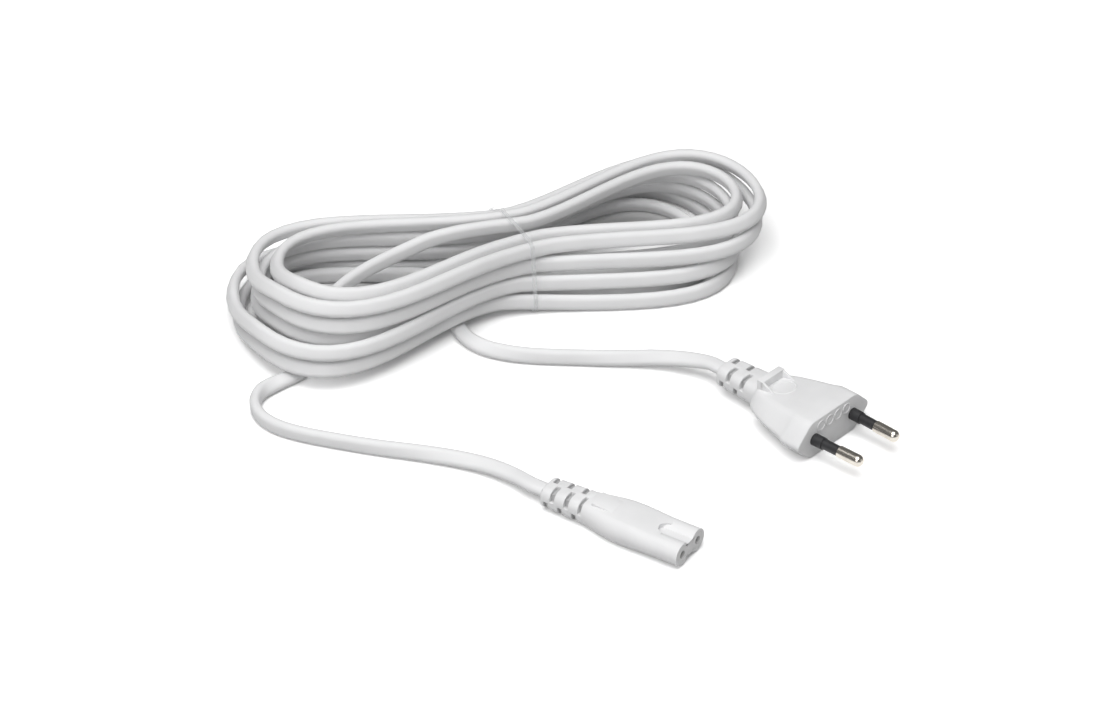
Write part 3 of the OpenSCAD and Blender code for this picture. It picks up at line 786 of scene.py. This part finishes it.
# %% [markdown]
# ## The plug's body
#
# The face of a flat plug is a stretched hexagon, so that it fits round and hexagonal sockets
# alike. A circle with six points is a hexagon already: it is stretched, its four upper and
# lower points are moved apart, and its corners are rounded. The face is then drawn back, first
# straight and then narrowing, as one hand would narrow clay. A subdivided cage would be
# smoother still, but would lose the crisp rim of the face.

# %% The plug's six-sided body
face_half_w, face_half_h, face_half_top, face_corner = 17.7, 6.6, 11, 1.7
face_turn, centre = (0, pi / 2, 0), (0, 0, 0)
let_go()
bpy.ops.mesh.primitive_circle_add(vertices=6, radius=MM, fill_type="NGON", rotation=face_turn)
plug_block = added("plug_block")
take(plug_block)
bpy.ops.mesh.select_all(action="SELECT")
stretch = (1, face_half_w, face_half_h / cos(pi / 6))
bpy.ops.transform.resize(value=stretch, center_override=centre)
bpy.ops.mesh.select_mode(type="VERT")
bpy.ops.mesh.select_all(action="DESELECT")
pick(plug_block, lambda p: abs(p.z) > face_half_h / 2, "verts")
bpy.ops.transform.resize(value=(1, 2 * face_half_top / face_half_w, 1), center_override=centre)
bpy.ops.mesh.select_all(action="SELECT")
bpy.ops.mesh.bevel(offset=face_corner * MM, segments=5, affect="VERTICES")
bpy.ops.mesh.select_mode(type="FACE")
bpy.ops.mesh.select_all(action="SELECT")
body_stations = [(-0.35, 1.014, 1.033), (-3, 1.017, 1.036), (-6.8, 1.014, 1.032)]
body_stations += [(-7.6, 0.985, 1.014), (-9.3, 0.938, 0.982), (-12.5, 0.885, 0.922)]
body_stations += [(-15.7, 0.833, 0.861), (-18.2, 0.784, 0.813), (-20.8, 0.732, 0.763)]
body_stations += [(-23.4, 0.655, 0.712), (-25.6, 0.57, 0.672), (-26.6, 0.52, 0.65)]
body_stations += [(-27, 0.49, 0.62)]
draw_back(body_stations)
bpy.ops.mesh.select_all(action="SELECT")
bpy.ops.mesh.normals_make_consistent(inside=False)
let_go()
soften(plug_block, 0.25, 2, 50)
print("plug block:", [round(v / MM, 2) for v in plug_block.dimensions])

# %% [markdown]
# ## The plug's grip, round mark and relief
#
# Behind the body stands a bar across, which the fingers pull on, with a thin gusset running
# forward from each of its ends. The gusset is a box whose front top edge is pushed down to the
# body. In front of the bar lies a shallow round mark, and on the face are four small rings.
# They are kept bare. A ring is a torus pressed flat, so that only a thin raised line shows.


# %% Grip, rings and relief, on both faces of the plug
bar_back, bar_front, bar_half = -27.1, -24.6, 5.3
gusset_back, gusset_front, gusset_inside = -25.5, -19.9, 4.2
slope_front, mark_x, slope_back = -18.2, -20.4, -23.4


def body_top(x):
    """Half the height of the plug's body at a place along it."""
    stations = sorted((station[0], station[2]) for station in body_stations)
    return between(x, stations) * face_half_h


def placed(piece, side, top):
    """Mirrors a piece to the other side or to the underside, with its faces kept outward."""
    let_go()
    piece.select_set(True)
    bpy.context.view_layer.objects.active = piece
    piece.scale = (1, side, top)
    bpy.ops.object.transform_apply(location=False, rotation=False, scale=True)
    if side * top < 0:
        take(piece)
        bpy.ops.mesh.select_all(action="SELECT")
        bpy.ops.mesh.flip_normals()
        let_go()
    return piece


def gusset(name, side, top, peak):
    """A fin from the bar to the body, whose front is low and thin."""
    fin = add_box(name, (gusset_back, gusset_inside, 3.0), (gusset_front, bar_half, peak))
    take(fin, "VERT")
    pick(fin, lambda p: p.x > gusset_front - 0.6 and p.z > 4, "verts")
    bpy.ops.transform.translate(value=(0, 0, (body_top(gusset_front) - 0.1 - peak) * MM))
    bpy.ops.mesh.select_all(action="DESELECT")
    pick(fin, lambda p: p.x > gusset_front - 0.6 and p.y < bar_half - 0.3, "verts")
    bpy.ops.transform.translate(value=(0, 0.6 * MM, 0))
    let_go()
    soften(fin, 0.12)
    return placed(fin, side, top)


def thin_ring(name, middle, turn, diameter, line, flat=0.5):
    """A raised line in a circle, lying on a face whose tilt is the turn about Y."""
    let_go()
    size = {"major_radius": diameter / 2 * MM, "minor_radius": line / 2 * MM}
    bpy.ops.mesh.primitive_torus_add(major_segments=40, minor_segments=8, **size)
    ring = bpy.context.object
    ring.scale = (1, 1, flat)
    added(name)
    ring.rotation_euler = (0, turn, 0)
    ring.location = Vector(middle) * MM
    return added(name)


sizes = {"length": 17.6, "front": (12, 8.4), "rear": (10.3, 7.4), "lead": 5.7, "pitch": 5.9}
plug_parts = [plug_block, slotted_sleeve("plug_relief", -26.6, **sizes)]
body_slope = atan((body_top(slope_front) - body_top(slope_back)) / (slope_front - slope_back))
for top, peak in ((1, 7.5), (-1, 6.8)):
    bar = add_box("bar", (bar_back, -bar_half, 2.8), (bar_front, bar_half, peak))
    soften(bar, 0.3)
    plug_parts.append(placed(bar, 1, top))
    for side in (1, -1):
        plug_parts.append(gusset("gusset", side, top, peak))
    mark_at = (mark_x, 0, (body_top(mark_x) + 0.03) * top)
    mark = thin_ring("round_mark", mark_at, body_slope * -top, diameter=7.8, line=0.7)
    plug_parts.append(mark)
ring_step, ring_z = 4.1, 3.6
for k in (-1.5, -0.5, 0.5, 1.5):
    ring_at = (0.02, k * ring_step, ring_z)
    plug_parts.append(thin_ring("face_ring", ring_at, pi / 2, diameter=3.4, line=0.46, flat=1))
plug_shell = joined("plug_shell", plug_parts)
set_down(plug_shell, plug_at, plug_heading, body_white)
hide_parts("plug_body")

# %% [markdown]
# ## The connector's body
#
# The nose of the connector is two round lobes side by side, with a groove between them above
# and below, so it can only enter its inlet the right way. Behind the nose it swells into a
# smooth oval body. The oval starts as a circle whose halves are moved apart, and is drawn back
# through a few sizes. The lobes are cylinders united with it, the round end of each groove is
# cut with a rod, and the pocket that the insert sits in is cut with two rods and a box.

# %% Body, nose, grooves and the pocket of the insert
lobe_r, lobe_y, shoulder = 3.75, 4.3, -8.4
groove_r, groove_floor, above = 2.5, 2.33, 6
pocket_end, pocket_d, pocket_half = -18.05, 5.9, 1.65
let_go()
bpy.ops.mesh.primitive_circle_add(
    vertices=48, radius=lobe_r * MM, fill_type="NGON", rotation=face_turn
)
connector_block = added("connector_block")
take(connector_block, "VERT")
for side in (1, -1):
    bpy.ops.mesh.select_all(action="DESELECT")
    pick(connector_block, lambda p: p.y * side > 0.01, "verts")
    bpy.ops.transform.translate(value=(0, side * lobe_y * MM, 0))
bpy.ops.mesh.select_all(action="SELECT")
bpy.ops.transform.translate(value=(shoulder * MM, 0, 0))
bpy.ops.mesh.select_mode(type="FACE")
bpy.ops.mesh.select_all(action="SELECT")
oval = [(-10.5, 1.0, 1.01), (-13, 1.008, 1.06), (-16, 1.018, 1.12), (-20, 1.028, 1.165)]
oval += [(-24, 1.01, 1.17), (-27, 0.95, 1.15), (-30, 0.86, 1.12), (-33, 0.765, 1.085)]
oval += [(-35.4, 0.70, 1.06), (-35.9, 0.68, 1.03)]
draw_back(oval, shoulder)
bpy.ops.mesh.select_all(action="SELECT")
bpy.ops.mesh.normals_make_consistent(inside=False)
let_go()
for top in (1, -1):
    low, high = sorted((groove_floor * top, above * top))
    start, end = (shoulder, 0, groove_floor * top), (shoulder, 0, above * top)
    groove = add_rod("groove_end", start, end, 2 * groove_r, 40)
    front = add_box("groove_front", (shoulder, -groove_r, low), (shoulder + 0.4, groove_r, high))
    cut(groove, front, "UNION")
    cut(connector_block, groove)
for side in (1, -1):
    y = side * lobe_y
    cut(connector_block, add_rod("lobe", (0, y, 0), (-14, y, 0), 2 * lobe_r, 64), "UNION")
web = add_box("web", (-12, -lobe_y, -groove_floor), (0, lobe_y, groove_floor))
cut(connector_block, web, "UNION")
for side in (1, -1):
    y = side * lobe_y
    cut(connector_block, add_rod("pocket", (1, y, 0), (pocket_end, y, 0), pocket_d))
pocket_web = add_box("pocket_web", (pocket_end, -lobe_y, -pocket_half), (1, lobe_y, pocket_half))
cut(connector_block, pocket_web)
print("connector block faces:", len(connector_block.data.polygons))

# %% [markdown]
# ## The connector's relief and thumb wedge
#
# The sleeve is the same kind as the plug's. On the body, in front of it, lies a low wedge that
# the thumb pushes against: it is level with the body in front and stands up at its back.


# %% Wedge and relief
wedge_back, wedge_front, wedge_half, wedge_foot = -33.3, -25.2, 3.4, 4.25


def thumb_wedge(top, peak):
    low, high = (wedge_back, -wedge_half, 2.9), (wedge_front, wedge_half, peak)
    wedge = add_box("wedge", low, high)
    take(wedge, "VERT")
    pick(wedge, lambda p: p.x > wedge_front - 0.8 and p.z > 4, "verts")
    bpy.ops.transform.translate(value=(0, 0, (wedge_foot - peak) * MM))
    let_go()
    soften(wedge, 0.15)
    return placed(wedge, 1, top)


connector_parts = [connector_block, thumb_wedge(1, 5.1), thumb_wedge(-1, 4.38)]
sizes = {"length": 16.0, "front": (11, 8), "rear": (9.8, 7.2), "lead": 0.2, "pitch": 5.2}
connector_parts.append(slotted_sleeve("connector_relief", -35.2, **sizes))
connector_shell = joined("connector_shell", connector_parts)
set_down(connector_shell, connector_at, connector_heading, body_white)
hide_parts("connector_body")

# %% [markdown]
# ## The tie
#
# The hank is bound at its waist by a thin clear band. A band pulled tight follows the outer
# runs of the cord and spans the hollows between them in straight lines, which is just what a
# convex hull does. So a small ring is set round each run where the band passes, the hull of
# all the rings is taken, its two flat ends are thrown away, and the skin that is left gets its
# thickness.

# %% Clear film and the band round the waist
clear_film = Finish("clear film", Roughness=0.12, IOR=1.45, Alpha=0.35)
film_cloud = clear_film.noise(clear_film.place(), 300, 2)
clear_film.feed(Base_Color=clear_film.mix(film_cloud, (0.82, 0.84, 0.85), (0.68, 0.70, 0.71)))
clear_film.feed(Alpha=0.12 + film_cloud * 0.16)
clear_film.bump(film_cloud, 0.00003, 0.4)

tie_along, tie_wide, tie_loose, tie_thick = 10, 1.4, 0.8, 0.25
tie_ring, off_table = 16, 0.02
tie_turn = radians(hank_turn + lean_turn / 2)
tie_dir = Vector((cos(tie_turn), sin(tie_turn), 0))
tie_side = Vector((-sin(tie_turn), cos(tie_turn), 0))
tie_from = Vector((*hank_at, 0))
crossings = []
for a, b in zip(hank_line, hank_line[1:]):
    da, db = (a - tie_from).dot(tie_dir) - tie_along, (b - tie_from).dot(tie_dir) - tie_along
    if (da < 0) != (db < 0):
        p = a.lerp(b, da / (da - db))
        crossings.append(((p - tie_from).dot(tie_side), p.z))
tie_points = []
for y, z in crossings:
    for k in range(tie_ring):
        a = 2 * pi * k / tie_ring
        r = cord_t / 2 + tie_loose
        up = z + r * sin(a) + (1 if sin(a) > 0 else -1) * (cord_w - cord_t) / 2
        for x in (-tie_wide / 2, tie_wide / 2):
            p = tie_from + tie_dir * (tie_along + x) + tie_side * (y + r * cos(a))
            tie_points.append(Vector((p.x, p.y, max(up, off_table))) * MM)
tie_mesh = bpy.data.meshes.new("clear_tie")
tie_mesh.from_pydata(tie_points, [], [])
clear_tie = bpy.data.objects.new("clear_tie", tie_mesh)
bpy.context.collection.objects.link(clear_tie)
take(clear_tie, "VERT")
bpy.ops.mesh.select_all(action="SELECT")
bpy.ops.mesh.convex_hull()
bpy.ops.mesh.dissolve_limited(angle_limit=radians(1))
bpy.ops.mesh.select_mode(type="FACE")
bpy.ops.mesh.select_all(action="DESELECT")
build = bmesh.from_edit_mesh(tie_mesh)
for face in build.faces:
    face.select_set(abs(face.normal.dot(tie_dir)) > 0.9)
bmesh.update_edit_mesh(tie_mesh)
bpy.ops.mesh.delete(type="FACE")
let_go()
apply_modifier(clear_tie, "SOLIDIFY", thickness=tie_thick * MM, offset=-1)
coat(clear_tie, clear_film)
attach(clear_tie, "root")
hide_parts("hank_tie")
[c * MM for c in plug_route[0][:3]]
print("runs under the tie:", len(crossings))

# %% [markdown]
# ## Table and light
#
# The lead lies on a plain white table that runs out of sight. White plastic on white is told
# apart by its shading alone. A wide lamp overhead makes the tops bright, a wide lamp low on the
# left lights the sides that face it, and a weak one low on the right keeps the faces that look
# away at a light grey. All are large, so the shadows are soft and stay close to the cord.
#
# The camera is shown a table brighter than any real one, which takes it to plain white and
# leaves its shadows in. What the table throws back at the cord is kept lower. Light that bright
# would also fill the gaps between the runs, so shade is painted on the table under the hank as a
# darker tone. It starts at the outline of the lowest loops and fades again towards the middle
# of the hollows.

# %% Floor, lamps and sky
let_go()
bpy.ops.mesh.primitive_plane_add(size=4)
table = bpy.context.object
table.name = "table"
table_finish = Finish("white table", Roughness=0.9, Specular_IOR_Level=0.1)
path = table_finish.tree.nodes.new("ShaderNodeLightPath")
seen = Value(table_finish, path.outputs["Is Camera Ray"])
seen = seen.sum("MAXIMUM", seen, Value(table_finish, path.outputs["Is Glossy Ray"]))
seen = seen.sum("MAXIMUM", seen, Value(table_finish, path.outputs["Is Transmission Ray"]))


def under_hank(finish):
    """How far a place on the table lies inside the lowest loops of the hank, in metres."""
    inputs = {0: finish.place(), 1: tie_from * MM}
    away = finish.node("ShaderNodeVectorMath", {"operation": "SUBTRACT"}, inputs)
    long = away.sum("ABSOLUTE", finish.reach(away, tie_dir)) / ((hank_reach + end_step) * MM)
    wide = away.sum("ABSOLUTE", finish.reach(away, tie_side))
    c = long ** (2 / end_roundness)
    s = (1 - c).clamp() ** 0.5
    limit = s * (waist_half + 2 * waist_step + c * (right_open + lobe_step)) * MM
    return limit - wide


grey, pale = (0.45, 0.45, 0.45), (1.27, 1.27, 1.27)
# Painted shade under the hank: deep_shade near the lowest runs, easing to middle_shade in the
# hollows.
deep_shade, middle_shade = (0.38, 0.38, 0.38), (1.15, 1.15, 1.15)
full_at, fade_from, fade_to = 0.012, 0.016, 0.037
inside = under_hank(table_finish)
painted_shade = inside.rise(0, full_at)
hollow = table_finish.mix(inside.rise(fade_from, fade_to), deep_shade, middle_shade)
table_seen = table_finish.mix(painted_shade, pale, hollow)
table_finish.feed(Base_Color=table_finish.mix(seen, grey, table_seen))
glow = table_finish.node("ShaderNodeEmission", None, {"Strength": seen * (1 - painted_shade) * 0.05})
both = table_finish.node("ShaderNodeAddShader", None, {})
table_finish.tree.links.new(table_finish.shader.outputs[0], both.socket.node.inputs[0])
table_finish.tree.links.new(glow.socket, both.socket.node.inputs[1])
table_finish.tree.links.new(both.socket, table_finish.output.inputs["Surface"])
coat(table, table_finish)


def lamp(name, place, size, watts):
    """A round lamp that points at the lead."""
    data = bpy.data.lights.new(name, "AREA")
    data.shape = "DISK"
    data.size = size
    data.energy = watts
    light = bpy.data.objects.new(name, data)
    light.location = place
    aim = lit_place - Vector(place)
    light.rotation_euler = aim.to_track_quat("-Z", "Y").to_euler()
    bpy.context.collection.objects.link(light)


lit_place = Vector((-0.05, 0.06, 0))
lamp("overhead", (-0.15, -0.28, 1.28), size=1.4, watts=16.2)
lamp("left", (-0.6, -1.08, 0.73), size=1.0, watts=6.2)
lamp("right fill", (1.1, -0.35, 0.3), size=0.8, watts=1.0)
world = bpy.context.scene.world or bpy.data.worlds.new("sky")
bpy.context.scene.world = world
world.use_nodes = True
sky = world.node_tree
sky.nodes.clear()
sky_path = sky.nodes.new("ShaderNodeLightPath")
sky_light = sky.nodes.new("ShaderNodeBackground")
sky_seen = sky.nodes.new("ShaderNodeBackground")
sky_mix = sky.nodes.new("ShaderNodeMixShader")
sky_out = sky.nodes.new("ShaderNodeOutputWorld")
sky_light.inputs["Strength"].default_value = 0.17
sky_seen.inputs["Strength"].default_value = 1.0
for shader, socket in ((sky_light, 1), (sky_seen, 2)):
    shader.inputs["Color"].default_value = (1, 1, 1, 1)
    sky.links.new(shader.outputs[0], sky_mix.inputs[socket])
sky.links.new(sky_path.outputs["Is Camera Ray"], sky_mix.inputs[0])
sky.links.new(sky_mix.outputs[0], sky_out.inputs[0])
